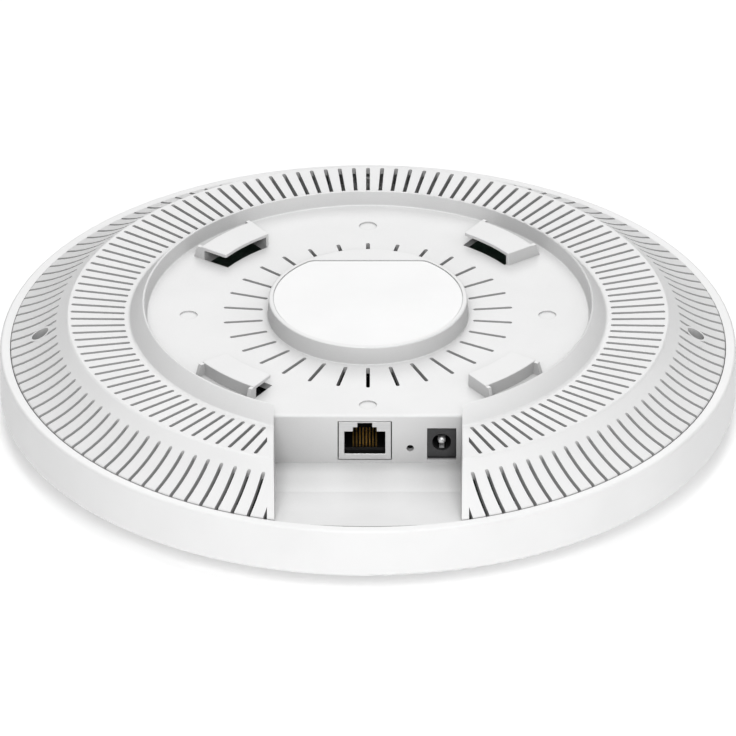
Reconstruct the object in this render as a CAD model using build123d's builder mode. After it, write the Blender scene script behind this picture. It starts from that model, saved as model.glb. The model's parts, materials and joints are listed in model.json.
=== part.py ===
from build123d import *

import math
import os

# Ceiling access point, mounted face up. Origin: centre of the recessed floor that the
# ceiling bracket seats on. +Z points to the ceiling, the port bay faces -Y. Millimetres.

# ---------------------------------------------------------------- driving dimensions
OUTER_R = 115.0  # outside of the front cover
WALL = 2.0  # moulded wall thickness of both covers
LAND_Z = -11.3  # flat land on top of the front cover's wall
LAND_W = 3.2  # width of that land, and thickness of the side wall
WALL_FOOT_Z = -27.85  # where the side wall would meet the shallow dome
DOME_Z = -34.4  # lowest point of the dome
DOME_SAG = 1.6  # rise of the dome half way out
FOOT_ROUND = 2.0
RIM_ROUND = 0.8  # round on the side wall's top edge
LAND_EDGE = 0.15  # round on the land's inner edge
LEDGE_T = 2.0  # height of the inner ledge that carries the rear cover
WALL_INSIDE = ((110.0, -26.5), (112.6, -24.6), (112.6, -19.5))  # from the dome up to the ledge
SCREW_BOSS_L = 13.0

REAR_R = 111.6  # edge of the rear cover, 0.2 inside the land
SKIRT_R = 109.6  # inside of the rear cover's locating skirt
SKIRT_Z = -15.0  # the skirt stands on the front cover's inner ledge here
REAR_EDGE = 0.3  # chamfer along that edge
FLARE_EDGE_Z = -10.8
FLARE_MID = (102.5, -6.87)
FLARE_TOP = (94.35, -0.5)
FLARE_CREST = (94.03, -0.15)  # the corner between the flare and the plateau is an arc
FLARE_INSIDE = ((93.1, -2.1), (102.0, -8.9), (109.6, -12.25))  # arc on the inside of the flare
PLATEAU_R = 93.7
PLATEAU_INNER_Z = -0.5  # plateau height at the foot of the raised ring
RING_FOOT_R = 74.6
RING_TOP_R = 70.1
RING_TOP_Z = 4.75
RECESS_R = 69.0
# Rounds on the corners of the rear cover's outline, from the plateau's edge to the pedestal.
OUTLINE_ROUNDS = (1.2, 0.35, 0.35, 0.5, 0.4, 0.5)

VENTS = 130  # slots round the plateau, and again round the flare
VENT_W = 1.2
PLATEAU_VENT = (76.0, 92.9)
FLARE_VENT = (97.3, 112.6)  # they run out through the rear cover's edge
FLOOR_VENTS = 30
FLOOR_VENT = (33.0, 45.25)
FLOOR_VENT_W = 1.2
VENT_FLOOR_Z = -13.5  # the vents stop here, so the skirt's foot stays a whole ring

PEDESTAL_R = 31.0
PEDESTAL_Z = 6.2
PEDESTAL_DRAFT = 0.3
POCKET_R = 29.7
POCKET_CHORD_Y = 23.7
POCKET_CORNER = 4.0
POCKET_DEPTH = 0.45
LABEL_T = 0.2
LABEL_GAP = 0.3  # between the label's edge and the pocket's

DIMPLES = 4
DIMPLE_AT_R = 56.0
DIMPLE_R = 2.8
DIMPLE_DEPTH = 0.5

HOOKS = 4
HOOK_FROM = 35.3  # first hook's clockwise end, degrees from +X
HOOK_SPAN = 20.5
HOOK_IN_R = 53.7
HOOK_OUT_R = 63.1
HOOK_WALL = 1.2
HOOK_TOP_Z = 4.3
HOOK_PLATE_T = 1.1
HOOK_OPEN_R = 53.0  # the floor is open under each hook's plate
HOOK_RIB_R = (65.9, 64.5)  # reach of the gussets at each end, at their foot and at their top
HOOK_CORNER = 0.5
HOOK_EDGE = 0.3

BAY_HALF_W = 29.3
BAY_BACK_Y = -62.5
BAY_FOOT_Z = -17.1
BAY_BEND_Y = -80.3
BAY_LIP_Z = -11.2
BAY_WALL = 1.6
BAY_DRAFT = 0.45  # each side wall leans out by this much from foot to top
BAY_EDGE = 0.9  # round along the top of the back wall
VENT_KEEP_OFF = 31.3  # vents stop this far to each side of the bay

BOARD_TOP = -15.75
BOARD_T = 1.6
BOARD_R = 97.0
BOARD_BOTTOM = BOARD_TOP - BOARD_T

RJ_X = -1.0
RJ_W = 16.3
RJ_TOP = -2.5
RJ_DEPTH = 21.0
RJ_SHEET = 0.3
RJ_GAP = 0.3  # gap round the jack in its cut-out
RJ_MOUTH = ((-13.8, 12.7, -5.8), (-5.8, 7.4, -4.3), (-4.3, 4.6, -2.8))  # z from, width, z to
CONTACTS = 8
CONTACT_PITCH = 1.02

RESET_X = 13.1
RESET_Z = -11.8
RESET_HOLE_R = 1.15
RESET_TRAVEL = 0.25

DC_X = 22.9
DC_W = 8.8
DC_GAP = 0.15
DC_TOP = -4.8
DC_DEPTH = 14.0
DC_AXIS_Z = -9.6
DC_BORE_R = 2.95
DC_BORE_DEPTH = 10.0
DC_PIN_R = 1.25
DC_PIN_ROUND = 1.0
DC_PIN_INSET = 0.5  # the pin's tip lies this far inside the face
DC_STEP = (1.2, 0.8)  # height and depth of the step along the foot of the face

SCREW_AT_R = 102.4
SCREW_HOLE_R = 2.55
SCREW_BOSS_R = 4.4
SCREW_CLEAR_R = 1.4
SCREW_VENT_R = 3.3  # vents stop this far from the screws' axes
SCREW_SEAT_Z = -11.6

SCREW_R = 1.25
SCREW_HEAD_R = 2.3
SCREW_HEAD_T = 1.7
SCREW_END_GAP = 0.5  # the case screws stop this far inside the inserts' lower end
INSERT_R = 2.0
INSERT_L = 5.0

POST_AT_R = 72.0  # bosses under the raised ring that the board is screwed to
POST_ANGLES = (28.0, 90.0, 152.0, 212.0, 328.0)
POST_R = 3.0
POST_BORE = 9.0
SMALL_SCREW_R = 1.1  # board and heat sink screws
SMALL_HEAD_R = 2.2
SMALL_HEAD_T = 1.5
BOARD_SCREW_L = 7.0  # reach above the board
SINK_SCREW_L = 4.0

SINK_R = 60.0
SINK_Z = (-10.0, -8.0)  # base plate of the heat sink
SINK_FIN_Z = -3.8
SINK_CUT_Y = -24.0  # the heat sink stops short of the jacks
SINK_LEGS = ((-46.0, -12.0), (46.0, -12.0), (-34.0, 42.0), (34.0, 42.0))
CHIP_AT = (0.0, 10.0)
RADIO_AT = ((-30.0, 14.0), (30.0, 14.0))
RADIO_CAN = 22.0
CAN_T = 0.3
CAN_TOP = -12.95
CAN_LAP = 1.6  # the lid reaches this far down outside the fence
PAD_T = 0.8

LIGHT_PIPE_R = 2.0
LIGHT_PIPE_FLANGE = (4.0, 1.5)  # radius and thickness
LED_SIZE = (3.2, 2.8, 1.2)

ANTENNA_AT_R = 84.0
ANTENNA_W = 7.0
ANTENNA_T = 0.4
ANTENNA_LEG_W = 2.5
ANTENNA_LEG_PITCH = 5.8

os.makedirs("parts", exist_ok=True)


def write(piece, name):
    """Label one finished piece and write it as its own STEP file."""
    piece.part.label = name
    export_step(piece.part, f"parts/{name}.step")


def polar(radius, angle):
    """Point in the XY plane at a radius and an angle in degrees."""
    turn = math.radians(angle)
    return (radius * math.cos(turn), radius * math.sin(turn))


def sector(r_in, r_out, from_deg, span):
    """A filled ring sector, as a sketch to add."""
    mid = from_deg + span / 2
    end = from_deg + span
    with BuildSketch(Plane.XY) as shape:
        with BuildLine():
            ThreePointArc(polar(r_in, from_deg), polar(r_in, mid), polar(r_in, end))
            Line(polar(r_in, end), polar(r_out, end))
            ThreePointArc(polar(r_out, end), polar(r_out, mid), polar(r_out, from_deg))
            Line(polar(r_out, from_deg), polar(r_in, from_deg))
        make_face()
    return shape.sketch


def radial_slots(count, span, width):
    """Draw evenly spaced radial slots with round ends in the current sketch."""
    middle = (span[0] + span[1]) / 2
    with PolarLocations(middle, count, start_angle=90):
        SlotOverall(span[1] - span[0], width)


def pocket_outline(inset):
    """A disc cut by a chord, with round corners: the label pocket's plan, as a sketch to add."""
    with BuildSketch(Plane.XY) as plan:
        Circle(POCKET_R - inset)
        with Locations((0, POCKET_CHORD_Y - inset + POCKET_R)):
            Rectangle(2 * POCKET_R, 2 * POCKET_R, mode=Mode.SUBTRACT)
        fillet(plan.vertices(), POCKET_CORNER)
    return plan.sketch


def post_places():
    """Centres of the posts that carry the board."""
    return Locations(*[polar(POST_AT_R, angle) for angle in POST_ANGLES])


# ---------------------------------------------------------------- rear cover
def rear_surface():
    """Draw the rear cover's outer surface, from its edge in to the axis, in a BuildLine."""
    Line((REAR_R, FLARE_EDGE_Z - REAR_EDGE), (REAR_R - REAR_EDGE, FLARE_EDGE_Z))
    ThreePointArc((REAR_R - REAR_EDGE, FLARE_EDGE_Z), FLARE_MID, FLARE_TOP)
    ThreePointArc(FLARE_TOP, FLARE_CREST, (PLATEAU_R, 0))
    FilletPolyline(
        (PLATEAU_R, 0),
        (RING_FOOT_R, PLATEAU_INNER_Z),
        (RING_TOP_R + 0.25, RING_TOP_Z),
        (RING_TOP_R - 0.25, RING_TOP_Z),
        (RECESS_R, 0),
        (PEDESTAL_R + PEDESTAL_DRAFT, 0),
        (PEDESTAL_R, PEDESTAL_Z),
        (0, PEDESTAL_Z),
        radius=OUTLINE_ROUNDS,
    )


# Walls of the port bay: the whole cover's outline filled solid, cut back to a block round
# the bay. The bay itself is cut out of it later, together with the rest of the cover.
rj_mid = (RJ_TOP + BOARD_TOP) / 2
bay_floor = ((BAY_BACK_Y, BAY_FOOT_Z), (BAY_BEND_Y, BAY_FOOT_Z), (-REAR_R, BAY_LIP_Z))
with BuildPart() as bay_block:
    with BuildSketch(Plane.XZ):
        with BuildLine():
            rear_surface()
            Polyline(
                (0, PEDESTAL_Z),
                (0, BAY_FOOT_Z - WALL),
                (REAR_R, BAY_FOOT_Z - WALL),
                (REAR_R, FLARE_EDGE_Z - REAR_EDGE),
            )
        make_face()
    revolve(axis=Axis.Z)
    with BuildSketch(Plane.YZ):
        with BuildLine():
            Polyline(
                (BAY_BACK_Y + WALL, PEDESTAL_Z),
                (BAY_BACK_Y + WALL, BAY_FOOT_Z - WALL),
                (BAY_BEND_Y, BAY_FOOT_Z - WALL),
                (-REAR_R, BAY_LIP_Z - WALL),
                (-REAR_R, PEDESTAL_Z),
                close=True,
            )
        make_face()
    extrude(amount=BAY_HALF_W + BAY_WALL, both=True, mode=Mode.INTERSECT)

# The bay's hollow: its outline from the side, narrower at the foot by the draft of its walls.
with BuildPart() as bay_hollow:
    with BuildSketch(Plane.YZ):
        with BuildLine():
            over_edge = (BAY_BACK_Y + BAY_EDGE, 0)
            ThreePointArc(over_edge, (BAY_BACK_Y + 0.25 * BAY_EDGE, -0.3 * BAY_EDGE), (BAY_BACK_Y, -BAY_EDGE))
            Polyline(
                (BAY_BACK_Y, -BAY_EDGE),
                *bay_floor,
                (-OUTER_R, BAY_LIP_Z),
                (-OUTER_R, PEDESTAL_Z + 1),
                (over_edge[0], PEDESTAL_Z + 1),
                over_edge,
            )
        make_face()
    extrude(amount=OUTER_R, both=True)
    with BuildSketch(Plane.XZ):
        with BuildLine():
            Polyline(
                (BAY_HALF_W - BAY_DRAFT, BAY_FOOT_Z),
                (BAY_HALF_W, 0),
                (BAY_HALF_W, PEDESTAL_Z + 1),
                (-BAY_HALF_W, PEDESTAL_Z + 1),
                (-BAY_HALF_W, 0),
                (BAY_DRAFT - BAY_HALF_W, BAY_FOOT_Z),
                close=True,
            )
        make_face()
    extrude(amount=OUTER_R, mode=Mode.INTERSECT)

# One bayonet hook, still solid: a block with soft edges and a gusset out from each end.
hook_wall_deg = math.degrees(HOOK_WALL / HOOK_OUT_R)
with BuildPart() as hook_block:
    with BuildSketch(Plane.XY.offset(-WALL)):
        add(sector(HOOK_IN_R, HOOK_OUT_R, HOOK_FROM, HOOK_SPAN))
    extrude(amount=WALL + HOOK_TOP_Z)
    uprights = hook_block.edges().filter_by(Axis.Z)
    fillet(uprights.sort_by(lambda edge: math.hypot(edge.center().X, edge.center().Y))[:2], HOOK_CORNER)
    fillet(hook_block.faces().sort_by(Axis.Z)[-1].edges(), HOOK_EDGE)
    for rib_from in (HOOK_FROM, HOOK_FROM + HOOK_SPAN - hook_wall_deg):
        across = Plane((0, 0, 0), x_dir=(*polar(1, rib_from), 0), z_dir=(*polar(1, rib_from - 90), 0))
        with BuildSketch(across):
            with BuildLine():
                Polyline(
                    (HOOK_OUT_R - HOOK_WALL, -WALL),
                    (HOOK_RIB_R[0], -WALL),
                    (HOOK_RIB_R[0], 0),
                    (HOOK_RIB_R[1], HOOK_TOP_Z - HOOK_EDGE),
                    (HOOK_OUT_R - HOOK_WALL, HOOK_TOP_Z - HOOK_EDGE),
                    close=True,
                )
            make_face()
        revolve(axis=Axis.Z, revolution_arc=hook_wall_deg)

with BuildPart() as rear_cover:
    # Shell of even thickness: the outer surface and, inside it, one of straight runs and an arc.
    with BuildSketch(Plane.XZ):
        with BuildLine():
            rear_surface()
            Polyline(
                (0, PEDESTAL_Z),
                (0, PEDESTAL_Z - WALL),
                (PEDESTAL_R - WALL, PEDESTAL_Z - WALL),
                (PEDESTAL_R - WALL, -WALL),
                (RING_FOOT_R, PLATEAU_INNER_Z - WALL + 0.2),
                FLARE_INSIDE[0],
            )
            ThreePointArc(*FLARE_INSIDE)
            Polyline(
                FLARE_INSIDE[2],
                (SKIRT_R, SKIRT_Z),
                (REAR_R, SKIRT_Z),
                (REAR_R, FLARE_EDGE_Z - REAR_EDGE),
            )
        make_face()
    revolve(axis=Axis.Z)
    add(bay_block.part)

    # Posts for the board's screws, and tubes for the screws that close the case.
    with BuildSketch(Plane.XY.offset(BOARD_TOP)):
        with post_places():
            Circle(POST_R)
    extrude(until=Until.NEXT)
    with BuildSketch(Plane.XY.offset(SKIRT_Z)):
        with PolarLocations(SCREW_AT_R, 2):
            Circle(SCREW_BOSS_R)
    extrude(until=Until.NEXT)

    # Bayonet hooks, each hollow under its plate and open on its inner side and at one end.
    with PolarLocations(0, HOOKS):
        add(hook_block.part)
    for hook in range(HOOKS):
        open_from = HOOK_FROM + hook_wall_deg + hook * 360 / HOOKS
        with BuildSketch(Plane.XY.offset(HOOK_TOP_Z - HOOK_PLATE_T)):
            add(sector(HOOK_OPEN_R, HOOK_OUT_R - HOOK_WALL, open_from, HOOK_SPAN - hook_wall_deg))
        extrude(amount=-2 * WALL - HOOK_TOP_Z, mode=Mode.SUBTRACT)

    # Port bay, with its ports: jack cut-outs and the reset hole.
    add(bay_hollow.part, mode=Mode.SUBTRACT)
    with BuildSketch(Plane.XZ.offset(-BAY_BACK_Y)):
        with Locations((RJ_X, rj_mid)):
            Rectangle(RJ_W + 2 * RJ_GAP, RJ_TOP - BOARD_TOP + 2 * RJ_GAP)
        with Locations((DC_X, (DC_TOP + BOARD_TOP) / 2)):
            Rectangle(DC_W + 2 * DC_GAP, DC_TOP - BOARD_TOP + 2 * DC_GAP)
        with Locations((RESET_X, RESET_Z)):
            Circle(RESET_HOLE_R)
    extrude(amount=-2 * WALL, mode=Mode.SUBTRACT)

    # Cooling vents in the flare, the plateau and the recessed floor.
    with BuildSketch(Plane.XY.offset(PEDESTAL_Z)):
        radial_slots(VENTS, PLATEAU_VENT, VENT_W)
        radial_slots(VENTS, FLARE_VENT, VENT_W)
        with Locations((0, -OUTER_R / 2)):
            Rectangle(2 * VENT_KEEP_OFF, OUTER_R, mode=Mode.SUBTRACT)
        with PolarLocations(SCREW_AT_R, 2):
            Circle(SCREW_VENT_R, mode=Mode.SUBTRACT)
        radial_slots(FLOOR_VENTS, FLOOR_VENT, FLOOR_VENT_W)
    extrude(amount=VENT_FLOOR_Z - PEDESTAL_Z, mode=Mode.SUBTRACT)

    # Label pocket in the pedestal.
    with BuildSketch(Plane.XY.offset(PEDESTAL_Z)):
        add(pocket_outline(0))
    extrude(amount=-POCKET_DEPTH, mode=Mode.SUBTRACT)

    # Locating dimples in the recessed floor.
    with BuildSketch(Plane.XY):
        with PolarLocations(DIMPLE_AT_R, DIMPLES):
            Circle(DIMPLE_R)
    extrude(amount=-DIMPLE_DEPTH, mode=Mode.SUBTRACT)

    # Screw holes: pilot holes in the posts, head wells and clearance holes in the flare.
    with BuildSketch(Plane.XY.offset(BOARD_TOP)):
        with post_places():
            Circle(SMALL_SCREW_R)
    extrude(amount=POST_BORE, mode=Mode.SUBTRACT)
    with BuildSketch(Plane.XY.offset(SCREW_SEAT_Z)):
        with PolarLocations(SCREW_AT_R, 2):
            Circle(SCREW_HOLE_R)
    extrude(amount=PEDESTAL_Z - SCREW_SEAT_Z, mode=Mode.SUBTRACT)
    with BuildSketch(Plane.XY.offset(SCREW_SEAT_Z)):
        with PolarLocations(SCREW_AT_R, 2):
            Circle(SCREW_CLEAR_R)
    extrude(amount=SKIRT_Z - SCREW_SEAT_Z, mode=Mode.SUBTRACT)
write(rear_cover, "rear_cover")


# ---------------------------------------------------------------- front cover
# Dome, side wall and land; the wall has an inner ledge that the rear cover's skirt sits on.
dome_in_z = DOME_Z + WALL
foot_centre = (OUTER_R - FOOT_ROUND, WALL_FOOT_Z + FOOT_ROUND)
foot_mid = (
    foot_centre[0] + FOOT_ROUND * math.cos(math.radians(45)),
    foot_centre[1] - FOOT_ROUND * math.sin(math.radians(45)),
)
foot_end = (foot_centre[0] + 0.11 * FOOT_ROUND, foot_centre[1] - 0.99 * FOOT_ROUND)
LEDGE_R = SKIRT_R - 0.2
with BuildPart() as front_cover:
    with BuildSketch(Plane.XZ):
        with BuildLine():
            FilletPolyline(
                (OUTER_R - LAND_W, SKIRT_Z),
                (OUTER_R - LAND_W, LAND_Z),
                (OUTER_R, LAND_Z),
                (OUTER_R, foot_centre[1]),
                radius=(LAND_EDGE, RIM_ROUND),
            )
            ThreePointArc((OUTER_R, foot_centre[1]), foot_mid, foot_end)
            ThreePointArc(foot_end, (OUTER_R / 2, DOME_Z + DOME_SAG), (0, DOME_Z))
            Line((0, DOME_Z), (0, dome_in_z))
            ThreePointArc((0, dome_in_z), (OUTER_R / 2, dome_in_z + DOME_SAG), WALL_INSIDE[0])
            Polyline(
                *WALL_INSIDE,
                (LEDGE_R, SKIRT_Z - LEDGE_T),
                (LEDGE_R, SKIRT_Z),
                (OUTER_R - LAND_W, SKIRT_Z),
            )
        make_face()
    revolve(axis=Axis.Z)
    with BuildSketch(Plane.XY.offset(SKIRT_Z)):
        with PolarLocations(SCREW_AT_R, 2):
            Circle(SCREW_BOSS_R)
    extrude(amount=-SCREW_BOSS_L)
    with BuildSketch(Plane.XY.offset(SKIRT_Z)):
        with PolarLocations(SCREW_AT_R, 2):
            Circle(INSERT_R)
    extrude(amount=-INSERT_L, mode=Mode.SUBTRACT)
    with BuildSketch(Plane.XY.offset(dome_in_z + 1)):
        Circle(LIGHT_PIPE_R)
    extrude(amount=-2 * WALL, mode=Mode.SUBTRACT)
write(front_cover, "front_cover")

with BuildPart() as threaded_inserts:
    with BuildSketch(Plane.XY.offset(SKIRT_Z)):
        with PolarLocations(SCREW_AT_R, 2):
            Circle(INSERT_R)
            Circle(SCREW_R, mode=Mode.SUBTRACT)
    extrude(amount=-INSERT_L)
write(threaded_inserts, "threaded_inserts")


def screws(places, head_z, head_r, shank_r, shank_end_z, head_t):
    """Pan head screws with a cross recess at the given places; the head's seat is at head_z."""
    upward = 1 if shank_end_z > head_z else -1
    with BuildPart() as group:
        with BuildSketch(Plane.XY.offset(head_z)):
            with places:
                Circle(head_r)
        extrude(amount=-upward * head_t)
        tops = group.faces().filter_by(Plane.XY).group_by(Axis.Z)[-1 if upward < 0 else 0]
        fillet(tops.edges(), head_t * 0.35)
        with BuildSketch(Plane.XY.offset(head_z - upward * head_t)):
            with places:
                Rectangle(head_r * 1.1, head_r * 0.3)
                Rectangle(head_r * 0.3, head_r * 1.1)
        extrude(amount=upward * head_t * 0.5, mode=Mode.SUBTRACT)
        with BuildSketch(Plane.XY.offset(head_z)):
            with places:
                Circle(shank_r)
        extrude(amount=shank_end_z - head_z)
    return group


case_screws = screws(
    PolarLocations(SCREW_AT_R, 2),
    SCREW_SEAT_Z,
    SCREW_HEAD_R,
    SCREW_R,
    SKIRT_Z - INSERT_L + SCREW_END_GAP,
    SCREW_HEAD_T,
)
write(case_screws, "case_screws")

# ---------------------------------------------------------------- rating label
with BuildPart() as rating_label:
    with BuildSketch(Plane.XY.offset(PEDESTAL_Z - POCKET_DEPTH)):
        add(pocket_outline(LABEL_GAP))
    extrude(amount=LABEL_T)
write(rating_label, "rating_label")

# ---------------------------------------------------------------- main board
# A disc with a notch round the port bay.
BOARD_GAP = 0.4
board_y = BAY_BACK_Y + WALL + BOARD_GAP
with BuildPart() as main_board:
    with BuildSketch(Plane.XY.offset(BOARD_BOTTOM)):
        Circle(BOARD_R)
        with Locations((0, board_y - BOARD_R)):
            Rectangle(2 * (BAY_HALF_W + BAY_WALL + BOARD_GAP), 2 * BOARD_R, mode=Mode.SUBTRACT)
        with post_places():
            Circle(SMALL_SCREW_R, mode=Mode.SUBTRACT)
        with Locations(*SINK_LEGS):
            Circle(SMALL_SCREW_R, mode=Mode.SUBTRACT)
    extrude(amount=BOARD_T)
write(main_board, "main_board")

board_screws = screws(
    post_places(),
    BOARD_BOTTOM,
    SMALL_HEAD_R,
    SMALL_SCREW_R,
    BOARD_TOP + BOARD_SCREW_L,
    SMALL_HEAD_T,
)
write(board_screws, "board_screws")

# Packaged parts on the board: places, then width, depth and height.
PROCESSOR_T = 1.3
PACKAGES = {
    "processor_chip": ([CHIP_AT], (16, 16, PROCESSOR_T)),
    "memory_chips": ([(-8, 29), (8, 29)], (9, 13, 1.0)),
    "flash_chip": ([(17, -8)], (8, 6, 1.6)),
    "radio_chips": (RADIO_AT, (9, 9, 1.0)),
    "crystals": ([(14.5, 0), (-14.5, 0)], (3.2, 2.5, 0.8)),
    "lan_magnetics": ([(RJ_X, -32)], (17, 11, 6)),
    "power_inductors": ([(44, -30), (44, -42)], (7, 7, 4.2)),
}
PACKAGE_EDGE = 0.15


def package(places, width, depth, height):
    """Rectangular packages of one kind standing on the main board."""
    with BuildPart() as packages:
        with BuildSketch(Plane.XY.offset(BOARD_TOP)):
            with Locations(*places):
                Rectangle(width, depth)
        extrude(amount=height)
        tops = packages.faces().filter_by(Plane.XY).group_by(Axis.Z)[-1]
        chamfer(tops.edges(), PACKAGE_EDGE)
    return packages


for package_name, (package_places, package_size) in PACKAGES.items():
    write(package(package_places, *package_size), package_name)

# Transformer: two ferrite halves' outline with the coil former showing at its waist.
TRANSFORMER_AT = (27, -35)
TRANSFORMER_CORE = (14, 10)
TRANSFORMER_COIL = (9, 14)
TRANSFORMER_H = 9.5
TALL_PART_ROUND = 0.6
with BuildPart() as power_transformer:
    with BuildSketch(Plane.XY.offset(BOARD_TOP)):
        with Locations(TRANSFORMER_AT):
            Rectangle(*TRANSFORMER_CORE)
            Rectangle(*TRANSFORMER_COIL)
    extrude(amount=TRANSFORMER_H)
    fillet(power_transformer.edges().filter_by(Axis.Z), TALL_PART_ROUND)
write(power_transformer, "power_transformer")

CAPACITOR_AT = ((-26, -38), (-37, -38), (-26, -50))
CAPACITOR_R = 4.0
CAPACITOR_H = 10.0
with BuildPart() as electrolytic_capacitors:
    with BuildSketch(Plane.XY.offset(BOARD_TOP)):
        with Locations(*CAPACITOR_AT):
            Circle(CAPACITOR_R)
    extrude(amount=CAPACITOR_H)
    fillet(electrolytic_capacitors.faces().group_by(Axis.Z)[-1].edges(), TALL_PART_ROUND)
write(electrolytic_capacitors, "electrolytic_capacitors")

# ---------------------------------------------------------------- radio shield cans
with BuildPart() as shield_fences:
    with BuildSketch(Plane.XY.offset(BOARD_TOP)):
        with Locations(*RADIO_AT):
            Rectangle(RADIO_CAN, RADIO_CAN)
            Rectangle(RADIO_CAN - 2 * CAN_T, RADIO_CAN - 2 * CAN_T, mode=Mode.SUBTRACT)
    extrude(amount=CAN_TOP - CAN_T - BOARD_TOP)
write(shield_fences, "shield_fences")

with BuildPart() as shield_lids:
    with BuildSketch(Plane.XY.offset(CAN_TOP - CAN_T - CAN_LAP)):
        with Locations(*RADIO_AT):
            Rectangle(RADIO_CAN + 2 * CAN_T, RADIO_CAN + 2 * CAN_T)
    extrude(amount=CAN_T + CAN_LAP)
    with BuildSketch(Plane.XY.offset(CAN_TOP - CAN_T)):
        with Locations(*RADIO_AT):
            Rectangle(RADIO_CAN, RADIO_CAN)
    extrude(amount=-CAN_LAP, mode=Mode.SUBTRACT)
write(shield_lids, "shield_lids")

# ---------------------------------------------------------------- heat sink
# A finned plate whose pads press on the processor and on both shield cans.
SINK_CORNER = 5.0
FIN_PITCH = 8.0
FIN_T = 1.4
FINS = 13
FIN_INSET = 3.0
CHIP_PAD = 15.0  # side of the thermal pad on the processor
RADIO_PAD = 18.0
SINK_LEG_R = 3.0
chip_top = BOARD_TOP + PROCESSOR_T


def sink_outline(inset):
    """The heat sink's plan, a disc cut straight on the side of the jacks, as a sketch to add."""
    with BuildSketch(Plane.XY) as plan:
        Circle(SINK_R - inset)
        with Locations((0, SINK_CUT_Y + inset - SINK_R)):
            Rectangle(2 * SINK_R, 2 * SINK_R, mode=Mode.SUBTRACT)
        fillet(plan.vertices(), SINK_CORNER)
    return plan.sketch


with BuildPart() as heat_sink:
    with BuildSketch(Plane.XY.offset(SINK_Z[0])):
        add(sink_outline(0))
    extrude(amount=SINK_Z[1] - SINK_Z[0])
    with BuildSketch(Plane.XY.offset(SINK_Z[1])):
        with GridLocations(FIN_PITCH, 1, FINS, 1):
            Rectangle(FIN_T, 2 * SINK_R)
        add(sink_outline(FIN_INSET), mode=Mode.INTERSECT)
    extrude(amount=SINK_FIN_Z - SINK_Z[1])
    with BuildSketch(Plane.XY.offset(SINK_Z[0])):
        with Locations(CHIP_AT):
            Rectangle(CHIP_PAD, CHIP_PAD)
    extrude(amount=chip_top + PAD_T - SINK_Z[0])
    with BuildSketch(Plane.XY.offset(SINK_Z[0])):
        with Locations(*RADIO_AT):
            Rectangle(RADIO_PAD, RADIO_PAD)
    extrude(amount=CAN_TOP + PAD_T - SINK_Z[0])
    with BuildSketch(Plane.XY.offset(SINK_Z[0])):
        with Locations(*SINK_LEGS):
            Circle(SINK_LEG_R)
    extrude(amount=BOARD_TOP - SINK_Z[0])
    with BuildSketch(Plane.XY.offset(BOARD_TOP)):
        with Locations(*SINK_LEGS):
            Circle(SMALL_SCREW_R)
    extrude(amount=SINK_SCREW_L + 1, mode=Mode.SUBTRACT)
write(heat_sink, "heat_sink")

heat_sink_screws = screws(
    Locations(*SINK_LEGS),
    BOARD_BOTTOM,
    SMALL_HEAD_R,
    SMALL_SCREW_R,
    BOARD_TOP + SINK_SCREW_L,
    SMALL_HEAD_T,
)
write(heat_sink_screws, "heat_sink_screws")

with BuildPart() as thermal_pads:
    with BuildSketch(Plane.XY.offset(chip_top)):
        with Locations(CHIP_AT):
            Rectangle(CHIP_PAD, CHIP_PAD)
    extrude(amount=PAD_T)
    with BuildSketch(Plane.XY.offset(CAN_TOP)):
        with Locations(*RADIO_AT):
            Rectangle(RADIO_PAD, RADIO_PAD)
    extrude(amount=PAD_T)
write(thermal_pads, "thermal_pads")

# ---------------------------------------------------------------- network jack
rj_h = RJ_TOP - BOARD_TOP
front = Plane.XZ.offset(-BAY_BACK_Y)  # the plane of the bay's back wall, extruded with -amount


def jack_mouth(grow):
    """Draw the stepped opening of the jack, latch notch up, in the current sketch."""
    for z_from, width, z_to in RJ_MOUTH:
        with Locations((RJ_X, (z_from + z_to) / 2)):
            Rectangle(width + 2 * grow, z_to - z_from + 2 * grow)


with BuildPart() as ethernet_jack_shield:
    with BuildSketch(front):
        with Locations((RJ_X, rj_mid)):
            Rectangle(RJ_W, rj_h)
    extrude(amount=-RJ_DEPTH)
    with BuildSketch(Plane.XZ.offset(-BAY_BACK_Y - RJ_SHEET)):
        with Locations((RJ_X, rj_mid)):
            Rectangle(RJ_W - 2 * RJ_SHEET, rj_h - 2 * RJ_SHEET)
    extrude(amount=-RJ_DEPTH + 2 * RJ_SHEET, mode=Mode.SUBTRACT)
    with BuildSketch(front):
        jack_mouth(0)
    extrude(amount=-3 * RJ_SHEET, mode=Mode.SUBTRACT)
write(ethernet_jack_shield, "ethernet_jack_shield")

MOUTH_GAP = 0.05  # the housing's mouth is this much larger than the shield's
MOUTH_DEPTH = 14.0
COMB_Y = -59.9
COMB_Z = -13.2
COMB_T = 0.7
with BuildPart() as ethernet_jack_housing:
    with BuildSketch(Plane.XZ.offset(-BAY_BACK_Y - RJ_SHEET)):
        with Locations((RJ_X, rj_mid)):
            Rectangle(RJ_W - 2 * RJ_SHEET, rj_h - 2 * RJ_SHEET)
    extrude(amount=-RJ_DEPTH + 2 * RJ_SHEET)
    with BuildSketch(Plane.XZ.offset(-BAY_BACK_Y - RJ_SHEET)):
        jack_mouth(MOUTH_GAP)
    extrude(amount=-MOUTH_DEPTH, mode=Mode.SUBTRACT)
    # Bar that the contact wires are anchored behind.
    with BuildSketch(Plane.XZ.offset(-COMB_Y)):
        with Locations((RJ_X, (RJ_MOUTH[0][0] + COMB_Z) / 2)):
            Rectangle(RJ_MOUTH[0][1] + 2 * MOUTH_GAP, COMB_Z - RJ_MOUTH[0][0] + 2 * MOUTH_GAP)
    extrude(amount=-COMB_T)
write(ethernet_jack_housing, "ethernet_jack_housing")

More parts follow.
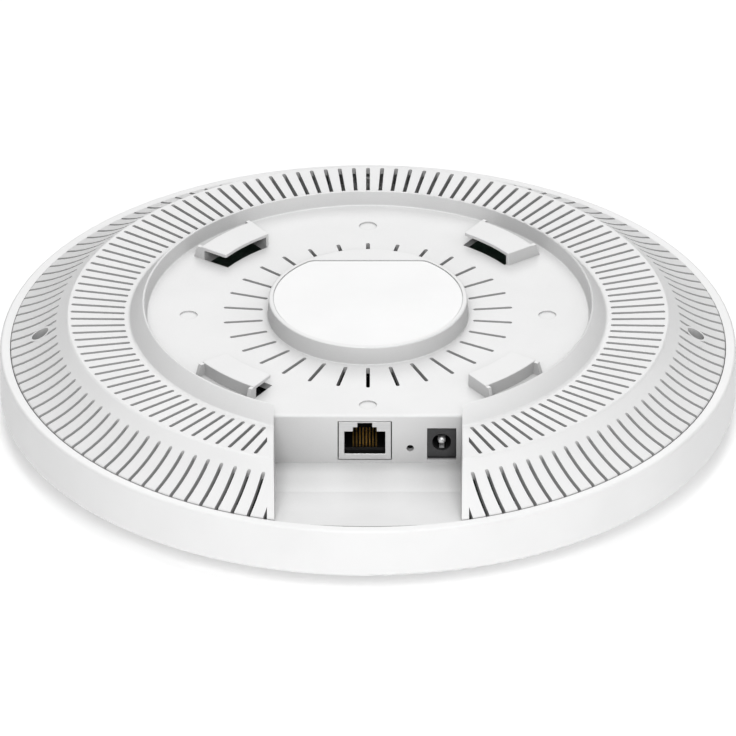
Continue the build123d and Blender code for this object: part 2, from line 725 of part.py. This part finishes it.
# Eight spring wires: each leaves the bar level, bends up and rises to the back of the jack.
CONTACT_T = 0.32
CONTACT_W = 0.46
CONTACT_ROOT = (COMB_Y + COMB_T + 0.15, -13.0)
CONTACT_BEND = (COMB_Y + COMB_T + 1.0, -12.6)
CONTACT_TIP = (-53.2, -9.6)
with BuildPart() as ethernet_contacts:
    with BuildSketch(Plane.YZ.offset(RJ_X)):
        with BuildLine():
            Polyline(
                CONTACT_ROOT,
                CONTACT_BEND,
                CONTACT_TIP,
                (CONTACT_TIP[0] + 0.5, CONTACT_TIP[1] - 0.4),
                (CONTACT_TIP[0] + 0.35, CONTACT_TIP[1] - 0.65),
                (CONTACT_TIP[0], CONTACT_TIP[1] - CONTACT_T - 0.05),
                (CONTACT_BEND[0] + 0.2, CONTACT_BEND[1] - CONTACT_T),
                (CONTACT_ROOT[0], CONTACT_ROOT[1] - CONTACT_T),
                close=True,
            )
        make_face()
    extrude(amount=CONTACT_W / 2, both=True)
    wire = ethernet_contacts.part
    with GridLocations(CONTACT_PITCH, 1, CONTACTS, 1):
        add(wire, mode=Mode.REPLACE)
write(ethernet_contacts, "ethernet_contacts")

# ---------------------------------------------------------------- power jack
LEAF_W = 1.6
LEAF_PIVOT = (-53.4, -13.55)  # rear end of the sleeve spring, where it bends
LEAF_BEND = (-59.0, -12.15)
LEAF_TIP = (-60.6, -12.75)
LEAF_T = 0.3
LEAF_POCKET = (-61.1, -53.0)  # side pocket of the bore, from front to rear
LEAF_POCKET_W = 2.4
LEAF_POCKET_Z = -14.6
DC_EDGE = 0.25
with BuildPart() as dc_jack_housing:
    with BuildSketch(front):
        with Locations((DC_X, (DC_TOP + BOARD_TOP) / 2)):
            Rectangle(DC_W, DC_TOP - BOARD_TOP)
    extrude(amount=-DC_DEPTH)
    fillet(dc_jack_housing.edges().filter_by(Axis.Y), DC_EDGE)
    with BuildSketch(front):
        with Locations((DC_X, DC_AXIS_Z)):
            Circle(DC_BORE_R)
    extrude(amount=-DC_BORE_DEPTH, mode=Mode.SUBTRACT)
    with BuildSketch(Plane.XY.offset(LEAF_POCKET_Z)):
        with Locations((DC_X, (LEAF_POCKET[0] + LEAF_POCKET[1]) / 2)):
            Rectangle(LEAF_POCKET_W, LEAF_POCKET[1] - LEAF_POCKET[0])
    extrude(amount=DC_AXIS_Z - DC_BORE_R / 2 - LEAF_POCKET_Z, mode=Mode.SUBTRACT)
    with BuildSketch(front):
        with Locations((DC_X, BOARD_TOP + DC_STEP[0] / 2)):
            Rectangle(DC_W, DC_STEP[0])
    extrude(amount=-DC_STEP[1], mode=Mode.SUBTRACT)
write(dc_jack_housing, "dc_jack_housing")

with BuildPart() as dc_jack_pin:
    with BuildSketch(Plane.XZ.offset(-BAY_BACK_Y - DC_PIN_INSET)):
        with Locations((DC_X, DC_AXIS_Z)):
            Circle(DC_PIN_R)
    extrude(amount=DC_PIN_INSET - DC_BORE_DEPTH)
    fillet(dc_jack_pin.faces().sort_by(Axis.Y)[0].edges(), DC_PIN_ROUND)
write(dc_jack_pin, "dc_jack_pin")

with BuildPart() as dc_jack_spring:
    with BuildSketch(Plane.YZ.offset(DC_X)):
        with BuildLine():
            Polyline(
                LEAF_PIVOT,
                (LEAF_PIVOT[0], LEAF_PIVOT[1] + LEAF_T),
                LEAF_BEND,
                LEAF_TIP,
                (LEAF_TIP[0], LEAF_TIP[1] - LEAF_T),
                (LEAF_BEND[0], LEAF_BEND[1] - LEAF_T),
                close=True,
            )
        make_face()
    extrude(amount=LEAF_W / 2, both=True)
write(dc_jack_spring, "dc_jack_spring")

# ---------------------------------------------------------------- reset switch
SWITCH_Y = -57.4  # front face of the switch body
SWITCH_W = 6.0
SWITCH_T = 3.6
SWITCH_BORE = (1.85, 1.2)  # radius and depth of the well that the button moves in
SWITCH_FRAME_T = 0.3
BUTTON_R = 1.7
BUTTON_L = 3.35
BUTTON_ROUND = 0.4
BUTTON_GAP = 0.35  # left behind the button for its travel
with BuildPart() as reset_switch_body:
    with BuildSketch(Plane.XZ.offset(-SWITCH_Y)):
        with Locations((RESET_X, RESET_Z)):
            Rectangle(SWITCH_W, SWITCH_W)
    extrude(amount=-SWITCH_T)
    with BuildSketch(Plane.XZ.offset(-SWITCH_Y)):
        with Locations((RESET_X, RESET_Z)):
            Circle(SWITCH_BORE[0])
    extrude(amount=-SWITCH_BORE[1], mode=Mode.SUBTRACT)
write(reset_switch_body, "reset_switch_body")

# Steel frame that holds the switch upright on the board.
with BuildPart() as reset_switch_frame:
    with BuildSketch(Plane.XY.offset(BOARD_TOP)):
        with Locations((RESET_X, SWITCH_Y + SWITCH_T / 2)):
            Rectangle(SWITCH_W + 2 * SWITCH_FRAME_T, SWITCH_T)
            Rectangle(SWITCH_W, SWITCH_T, mode=Mode.SUBTRACT)
    extrude(amount=RESET_Z + SWITCH_W / 2 - BOARD_TOP)
    with BuildSketch(Plane.XY.offset(BOARD_TOP)):
        with Locations((RESET_X, SWITCH_Y + SWITCH_T / 2)):
            Rectangle(SWITCH_W, SWITCH_T - 2 * SWITCH_FRAME_T)
    extrude(amount=RESET_Z - SWITCH_W / 2 - BOARD_TOP)
write(reset_switch_frame, "reset_switch_frame")

with BuildPart() as reset_button:
    with BuildSketch(Plane.XZ.offset(-SWITCH_Y - SWITCH_BORE[1] + BUTTON_GAP)):
        with Locations((RESET_X, RESET_Z)):
            Circle(BUTTON_R)
    extrude(amount=BUTTON_L)
    fillet(reset_button.faces().sort_by(Axis.Y)[0].edges(), BUTTON_ROUND)
write(reset_button, "reset_button")

# ---------------------------------------------------------------- status light
LED_EDGE = 0.3
LED_GAP = 0.6  # from the light source down to the pipe
with BuildPart() as status_led:
    with BuildSketch(Plane.XY.offset(BOARD_BOTTOM)):
        Rectangle(LED_SIZE[0], LED_SIZE[1])
    extrude(amount=-LED_SIZE[2])
    chamfer(status_led.faces().sort_by(Axis.Z)[0].edges(), LED_EDGE)
write(status_led, "status_led")

PIPE_INSET = 0.02  # the pipe's outer end stops this far inside the dome
PIPE_FLANGE_GAP = 0.05
with BuildPart() as light_pipe:
    with BuildSketch(Plane.XY.offset(DOME_Z + PIPE_INSET)):
        Circle(LIGHT_PIPE_R)
    extrude(amount=BOARD_BOTTOM - LED_SIZE[2] - LED_GAP - DOME_Z)
    with BuildSketch(Plane.XY.offset(dome_in_z + PIPE_FLANGE_GAP)):
        Circle(LIGHT_PIPE_FLANGE[0])
    extrude(amount=LIGHT_PIPE_FLANGE[1])
write(light_pipe, "light_pipe")


# ---------------------------------------------------------------- antennas
def antennas(places, length, drop):
    """Stamped inverted-F antennas under the board, each a plate on two legs."""
    with BuildPart() as group:
        with BuildSketch(Plane.XY.offset(BOARD_BOTTOM - drop)):
            with places:
                Rectangle(ANTENNA_W, length)
        extrude(amount=-ANTENNA_T)
        leg_y = (length - ANTENNA_T) / 2
        with BuildSketch(Plane.XY.offset(BOARD_BOTTOM)):
            with places:
                with Locations((0, leg_y), (0, leg_y - ANTENNA_LEG_PITCH)):
                    Rectangle(ANTENNA_LEG_W, ANTENNA_T)
        extrude(amount=-drop)
    return group


antennas_24ghz = antennas(PolarLocations(ANTENNA_AT_R, 3, 0, 180, endpoint=True), 27.0, 6.0)
write(antennas_24ghz, "antennas_24ghz")
antennas_5ghz = antennas(PolarLocations(ANTENNA_AT_R, 4, 45), 13.0, 5.0)
write(antennas_5ghz, "antennas_5ghz")
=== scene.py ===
"""Looks of the ceiling access point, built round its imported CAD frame."""

import json
import math

import bmesh
import bpy
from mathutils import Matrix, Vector


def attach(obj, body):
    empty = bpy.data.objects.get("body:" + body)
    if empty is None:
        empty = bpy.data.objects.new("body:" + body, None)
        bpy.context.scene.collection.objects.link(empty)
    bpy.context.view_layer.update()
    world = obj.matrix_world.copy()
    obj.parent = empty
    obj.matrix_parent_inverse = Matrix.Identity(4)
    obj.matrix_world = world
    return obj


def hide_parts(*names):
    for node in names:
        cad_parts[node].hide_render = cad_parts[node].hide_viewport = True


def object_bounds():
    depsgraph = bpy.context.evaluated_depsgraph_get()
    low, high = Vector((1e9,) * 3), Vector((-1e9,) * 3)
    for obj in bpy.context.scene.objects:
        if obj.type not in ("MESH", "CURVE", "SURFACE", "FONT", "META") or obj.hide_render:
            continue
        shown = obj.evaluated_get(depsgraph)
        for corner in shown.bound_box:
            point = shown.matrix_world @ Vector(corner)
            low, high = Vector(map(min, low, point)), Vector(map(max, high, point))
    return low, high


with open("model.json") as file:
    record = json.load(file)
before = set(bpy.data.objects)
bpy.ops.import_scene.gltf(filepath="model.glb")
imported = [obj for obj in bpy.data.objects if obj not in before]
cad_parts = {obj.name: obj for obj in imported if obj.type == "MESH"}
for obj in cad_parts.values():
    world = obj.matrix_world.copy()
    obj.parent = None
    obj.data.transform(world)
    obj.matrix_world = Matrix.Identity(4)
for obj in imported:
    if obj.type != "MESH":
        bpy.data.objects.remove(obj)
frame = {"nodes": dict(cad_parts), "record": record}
cad_low, cad_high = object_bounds()
scene = bpy.context.scene
MM = 0.001

# ---------------------------------------------------------------- camera
ELEVATION = math.radians(30)
CAMERA_DISTANCE = 10.5  # far off with a long lens, so that the view is almost parallel
FRAMED_WIDTH = 0.230  # what the picture spans at the object
AIM = Vector((0, 0, -0.0191))
SENSOR_MM = 36.0
FAR_CLIP = 100.0


def make_camera():
    data = bpy.data.cameras.new("camera")
    data.sensor_width = SENSOR_MM
    data.lens = SENSOR_MM * CAMERA_DISTANCE / FRAMED_WIDTH
    data.clip_end = FAR_CLIP
    camera = bpy.data.objects.new("camera", data)
    back = Vector((0, -math.cos(ELEVATION), math.sin(ELEVATION)))
    camera.location = AIM + back * CAMERA_DISTANCE
    camera.rotation_euler = (-back).to_track_quat("-Z", "Y").to_euler()
    scene.collection.objects.link(camera)
    scene.camera = camera


# ---------------------------------------------------------------- how a finish is put together
NOISE_LOW = 0.3  # most of a noise pattern lies between these two values
NOISE_HIGH = 0.7
RELIEF_STRENGTH = 0.5
SLOT_OPENNESS = 0.08  # how much of its surroundings a point sees at the bottom of a slot,
CORNER_OPENNESS = 0.5  # in a corner,
FACE_OPENNESS = 0.95  # and on an open face
OPENNESS_SAMPLES = 6


def tint(colour, factor):
    return tuple(min(1.0, channel * factor) for channel in colour)


class Finish:
    """A procedural material: one Principled shader fed by patterns in object coordinates."""

    def __init__(self, name, colour, roughness, metallic=0.0, ior=1.5):
        self.material = bpy.data.materials.new(name)
        self.material.use_nodes = True
        self.nodes = self.material.node_tree.nodes
        self.shader = self.nodes["Principled BSDF"]
        self.shader.inputs["Base Color"].default_value = (*colour, 1)
        self.shader.inputs["Roughness"].default_value = roughness
        self.shader.inputs["Metallic"].default_value = metallic
        self.shader.inputs["IOR"].default_value = ior
        self.place = self.nodes.new("ShaderNodeTexCoord").outputs["Object"]

    def link(self, source, target):
        self.material.node_tree.links.new(source, target)

    def stretched(self, stretch):
        """Object coordinates scaled unevenly, so that a pattern runs along one axis."""
        mapping = self.nodes.new("ShaderNodeMapping")
        mapping.inputs["Scale"].default_value = stretch
        self.link(self.place, mapping.inputs["Vector"])
        return mapping.outputs["Vector"]

    def noise(self, size, detail=2.0, stretch=None):
        """Noise whose lumps are about size metres across."""
        texture = self.nodes.new("ShaderNodeTexNoise")
        texture.inputs["Scale"].default_value = 1 / size
        texture.inputs["Detail"].default_value = detail
        self.link(self.stretched(stretch) if stretch else self.place, texture.inputs["Vector"])
        return texture.outputs["Fac"]

    def ramp(self, pattern, stops):
        """The colours that a pattern's values stand for, given as (value, colour) stops."""
        node = self.nodes.new("ShaderNodeValToRGB")
        elements = node.color_ramp.elements
        while len(elements) < len(stops):
            elements.new(0.5)
        for element, (position, colour) in zip(elements, stops):
            element.position = position
            element.color = (*colour, 1)
        self.link(pattern, node.inputs["Fac"])
        return node.outputs["Color"]

    def colours(self, pattern, stops):
        """Base colour from a pattern."""
        self.link(self.ramp(pattern, stops), self.shader.inputs["Base Color"])

    def mottle(self, pattern, colour, variation):
        """Base colour that wanders a little darker and lighter with a pattern."""
        darker = tint(colour, 1 - variation)
        lighter = tint(colour, 1 + variation)
        self.colours(pattern, ((NOISE_LOW, darker), (NOISE_HIGH, lighter)))

    def painted_shade(self, reach, slot_shade, corner_shade):
        """Paint shade into the base colour in slots and corners, by what stands within reach metres.
        """
        colour_in = self.shader.inputs["Base Color"]
        unshaded = colour_in.links[0].from_socket
        # painted shade: the less of its surroundings a point sees, the darker its base colour is
        # painted
        openness = self.nodes.new("ShaderNodeAmbientOcclusion")
        openness.samples = OPENNESS_SAMPLES
        openness.inputs["Distance"].default_value = reach
        shades = (
            (SLOT_OPENNESS, (slot_shade,) * 3),
            (CORNER_OPENNESS, (corner_shade,) * 3),
            (FACE_OPENNESS, (1.0,) * 3),
        )
        mixed = self.nodes.new("ShaderNodeMix")
        mixed.data_type = "RGBA"
        mixed.blend_type = "MULTIPLY"
        mixed.inputs["Factor"].default_value = 1.0
        self.link(unshaded, mixed.inputs["A"])
        self.link(self.ramp(openness.outputs["AO"], shades), mixed.inputs["B"])
        self.link(mixed.outputs["Result"], colour_in)

    def roughness(self, pattern, low, high):
        """Roughness that wanders between two values with a pattern."""
        spread = self.nodes.new("ShaderNodeMapRange")
        spread.inputs["To Min"].default_value = low
        spread.inputs["To Max"].default_value = high
        self.link(pattern, spread.inputs["Value"])
        self.link(spread.outputs["Result"], self.shader.inputs["Roughness"])

    def relief(self, pattern, height):
        """Fine relief, height in metres, in the surface's normal."""
        bump = self.nodes.new("ShaderNodeBump")
        bump.inputs["Strength"].default_value = RELIEF_STRENGTH
        bump.inputs["Distance"].default_value = height
        self.link(pattern, bump.inputs["Height"])
        self.link(bump.outputs["Normal"], self.shader.inputs["Normal"])


# ---------------------------------------------------------------- kinds of finish
CLOUD_SIZE = 24 * MM  # uneven whiteness of a moulding
SKIN_UNEVENNESS = 0.06  # how far a moulding's roughness wanders to each side
MARK_SIZE = 0.4 * MM  # across the marks that rolling and drawing leave on metal
MARK_RELIEF = 0.004 * MM
HAZE_SIZE = 0.8 * MM
MASK_GREEN = (0.006, 0.020, 0.012)
TRACK_PITCH = 3.2 * MM


def moulded(name, colour, roughness, grain=0.35 * MM, relief=0.012 * MM, variation=0.02, painted_shade=None):
    """Injection moulded plastic: even colour, fine spark-eroded grain, uneven sheen, and painted
    shade in slots and corners when its settings are given.
    """
    finish = Finish(name, colour, roughness, ior=1.46)
    finish.mottle(finish.noise(CLOUD_SIZE, detail=3.0), colour, variation)
    # painted shade in slots and corners, only when its settings are given
    if painted_shade:
        finish.painted_shade(*painted_shade)
    skin = finish.noise(grain, detail=3.0)
    finish.roughness(skin, roughness - SKIN_UNEVENNESS, roughness + SKIN_UNEVENNESS)
    finish.relief(skin, relief)
    return finish.material


def drawn_metal(name, colour, roughness, stretch, variation=0.12):
    """Sheet, wire or can metal with fine marks along one axis."""
    finish = Finish(name, colour, roughness, metallic=1.0)
    marks = finish.noise(MARK_SIZE, detail=4.0, stretch=stretch)
    finish.mottle(marks, colour, variation)
    finish.roughness(marks, roughness - 0.08, roughness + 0.1)
    finish.relief(marks, MARK_RELIEF)
    return finish.material


def solder_mask(name):
    """Printed board: tracks and filled areas faintly raised under a dark green mask."""
    finish = Finish(name, MASK_GREEN, 0.35)
    cells = finish.nodes.new("ShaderNodeTexVoronoi")
    cells.distance = "CHEBYCHEV"
    cells.inputs["Scale"].default_value = 1 / TRACK_PITCH
    finish.link(finish.place, cells.inputs["Vector"])
    tracks = cells.outputs["Distance"]
    track_green = tint(MASK_GREEN, 1.9)
    finish.colours(
        tracks, ((0.30, MASK_GREEN), (0.34, track_green), (0.52, track_green), (0.56, MASK_GREEN))
    )
    finish.relief(tracks, 0.03 * MM)
    finish.roughness(finish.noise(2 * MM), low=0.25, high=0.4)
    return finish.material


def sintered(name, colour, speckle):
    """Ferrite, resin or gel: matt, with speckles a little lighter than the rest."""
    finish = Finish(name, colour, 0.7)
    grains = finish.noise(speckle, detail=6.0)
    finish.colours(grains, ((0.35, colour), (0.62, tint(colour, 1.5)), (0.7, tint(colour, 2.4))))
    finish.roughness(grains, low=0.55, high=0.8)
    finish.relief(grains, 0.02 * MM)
    return finish.material


def clear_resin(name, colour, clearness):
    """Milky clear resin that carries light from the lamp to the front."""
    finish = Finish(name, colour, 0.25, ior=1.49)
    finish.shader.inputs["Transmission Weight"].default_value = clearness
    haze = finish.noise(HAZE_SIZE)
    finish.roughness(haze, low=0.18, high=0.34)
    finish.relief(haze, 0.006 * MM)
    return finish.material


# ---------------------------------------------------------------- materials, by the record's slots
ALONG_X = (0.05, 1, 1)
ALONG_Y = (1, 0.05, 1)
ALONG_Z = (1, 1, 0.05)
WHITE = (0.83, 0.83, 0.83)
FRONT_WHITE = tint(WHITE, 1.04)
# Painted shade for the shells and the jack: base colour darkened in slots and corners where little
# light reaches
REAR_PAINTED_SHADE = (20 * MM, 0.42, 0.72)  # painted shade: reach, shade at the bottom of a slot, shade in a corner
FRONT_PAINTED_SHADE = (8 * MM, 0.2, 0.85)
JACK_PAINTED_SHADE = (5 * MM, 0.05, 0.3)
MATERIALS = {
    "rear_shell": moulded("rear_shell", WHITE, 0.46, painted_shade=REAR_PAINTED_SHADE),
    "front_shell": moulded("front_shell", FRONT_WHITE, 0.42, painted_shade=FRONT_PAINTED_SHADE),
    "label_film": moulded("label_film", (0.88, 0.88, 0.88), 0.34, grain=0.12 * MM, relief=0.003 * MM),
    "circuit_board": solder_mask("circuit_board"),
    "chip_resin": sintered("chip_resin", (0.012, 0.012, 0.013), 0.15 * MM),
    "ferrite": sintered("ferrite", (0.018, 0.018, 0.019), 0.3 * MM),
    "capacitor_can": drawn_metal("capacitor_can", (0.55, 0.55, 0.57), 0.30, ALONG_Z),
    "tinned_steel": drawn_metal("tinned_steel", (0.52, 0.52, 0.53), 0.34, ALONG_X),
    "jack_shell": drawn_metal("jack_shell", (0.70, 0.70, 0.70), 0.36, ALONG_X, variation=0.05),
    "black_plastic": moulded("black_plastic", (0.004, 0.004, 0.004), 0.5),
    "jack_plastic": moulded(
        "jack_plastic", (0.045, 0.045, 0.046), 0.55, variation=0.08, painted_shade=JACK_PAINTED_SHADE
    ),
    "gold_wire": drawn_metal("gold_wire", (0.46, 0.30, 0.10), 0.34, ALONG_Y),
    "plated_pin": drawn_metal("plated_pin", (0.88, 0.88, 0.88), 0.55, ALONG_Y),
    "cast_aluminium": drawn_metal("cast_aluminium", (0.045, 0.045, 0.048), 0.45, ALONG_Y),
    "pad_gel": sintered("pad_gel", (0.12, 0.15, 0.19), 0.5 * MM),
    "screw_steel": drawn_metal("screw_steel", (0.48, 0.48, 0.49), 0.34, ALONG_Z),
    "insert_brass": drawn_metal("insert_brass", (0.60, 0.42, 0.16), 0.3, ALONG_Z),
    "antenna_metal": drawn_metal("antenna_metal", (0.52, 0.44, 0.26), 0.35, ALONG_X),
    "led_body": clear_resin("led_body", (0.85, 0.82, 0.68), 0.3),
    "light_pipe_resin": clear_resin("light_pipe_resin", (0.86, 0.88, 0.90), 0.75),
}
slot_of = {part["node"]: part["material_slot"] for part in frame["record"]["subparts"]}


def dress_nodes():
    """Give every carried-over CAD node the material of its slot in the record."""
    for node, slot in slot_of.items():
        materials = frame["nodes"][node].data.materials
        materials.clear()
        materials.append(MATERIALS[slot])


# ---------------------------------------------------------------- pieces with softened edges
BEVEL_ANGLE = math.radians(32)  # edges sharper than this are rounded
WELD = 0.0001 * MM
SOFT_EDGES = {  # width of the round on each small moulding, pressing or turned piece
    "ethernet_jack_shield": 0.12 * MM,
    "ethernet_jack_housing": 0.12 * MM,
    "dc_jack_pin": 0.1 * MM,
    "reset_button": 0.1 * MM,
    "case_screws": 0.08 * MM,
}
body_of = {
    node: body for body, nodes in frame["record"]["behaviour"]["bodies"].items() for node in nodes
}


def welded_copy(node):
    """A CAD node's mesh with its faces joined up, so that their shared edges can be rounded."""
    mesh = frame["nodes"][node].data.copy()
    true_normals = [corner.vector.copy() for corner in mesh.corner_normals]
    work = bmesh.new()
    work.from_mesh(mesh)
    bmesh.ops.remove_doubles(work, verts=work.verts, dist=WELD)
    work.to_mesh(mesh)
    work.free()
    if len(true_normals) == len(mesh.loops):
        mesh.normals_split_custom_set(true_normals)
    return mesh


def soften(node, width):
    """A copy of a CAD node with its sharp edges rounded, which stands in for it."""
    piece = bpy.data.objects.new(node + "_moulding", welded_copy(node))
    scene.collection.objects.link(piece)
    rounding = piece.modifiers.new("rounding", "BEVEL")
    rounding.width = width
    rounding.segments = 2
    rounding.limit_method = "ANGLE"
    rounding.angle_limit = BEVEL_ANGLE
    rounding.use_clamp_overlap = False
    rounding.harden_normals = True
    piece.data.materials.clear()
    piece.data.materials.append(MATERIALS[slot_of[node]])
    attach(piece, body_of[node])
    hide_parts(node)


# ---------------------------------------------------------------- light and floor
FLOOR_Z = cad_low[2] - 0.05 * MM
FLOOR_SIZE = 60.0
FLOOR_CELLS = 8
TABLE_WHITE = (0.85, 0.85, 0.85)
TABLE_TONES = ((NOISE_LOW, (0.84, 0.84, 0.84)), (NOISE_HIGH, (0.86, 0.86, 0.86)))
TABLE_GLOW = 0.3
LIGHTS = {  # place, size of the soft box, watts
    "top_light": ((0, 0, 1.2), 0.8, 7.6),
    "front_light": ((0, -1.2, 1.0), 0.8, 15.0),
    "back_light": ((0, 1.2, 1.0), 0.8, 6.0),
    "side_light": ((1.3, -0.6, 0.8), 0.6, 1.5),
}


def make_floor():
    """A plain white floor that glows faintly, as a lit studio table does."""
    work = bmesh.new()
    bmesh.ops.create_grid(
        work, x_segments=FLOOR_CELLS, y_segments=FLOOR_CELLS, size=FLOOR_SIZE / 2
    )
    mesh = bpy.data.meshes.new("floor")
    work.to_mesh(mesh)
    work.free()
    floor = bpy.data.objects.new("floor", mesh)
    floor.location = (0, 0, FLOOR_Z)
    scene.collection.objects.link(floor)
    finish = Finish("studio_table", TABLE_WHITE, 0.9)
    finish.colours(finish.noise(1.0), TABLE_TONES)
    finish.shader.inputs["Specular IOR Level"].default_value = 0.0
    finish.shader.inputs["Emission Color"].default_value = (1, 1, 1, 1)
    finish.shader.inputs["Emission Strength"].default_value = TABLE_GLOW
    floor.data.materials.append(finish.material)


def make_world():
    """A white studio all round, which is only seen: the soft boxes give the light."""
    world = bpy.data.worlds.new("studio")
    scene.world = world
    world.use_nodes = True
    background = world.node_tree.nodes["Background"]
    background.inputs["Color"].default_value = (1, 1, 1, 1)
    background.inputs["Strength"].default_value = 1.0
    world.cycles_visibility.diffuse = False
    world.cycles_visibility.glossy = False
    world.cycles_visibility.transmission = False


def area_light(name, place, size, power):
    """A square soft box at place, in metres, facing the object."""
    data = bpy.data.lights.new(name, "AREA")
    data.shape = "SQUARE"
    data.size = size
    data.energy = power
    lamp = bpy.data.objects.new(name, data)
    lamp.location = place
    lamp.rotation_euler = Vector(place).to_track_quat("Z", "Y").to_euler()
    scene.collection.objects.link(lamp)


# ---------------------------------------------------------------- assembly
make_camera()
scene.view_settings.view_transform = "Standard"
dress_nodes()
for moulding, edge in SOFT_EDGES.items():
    soften(moulding, edge)
make_floor()
make_world()
for light, (place, size, power) in LIGHTS.items():
    area_light(light, place, size, power)
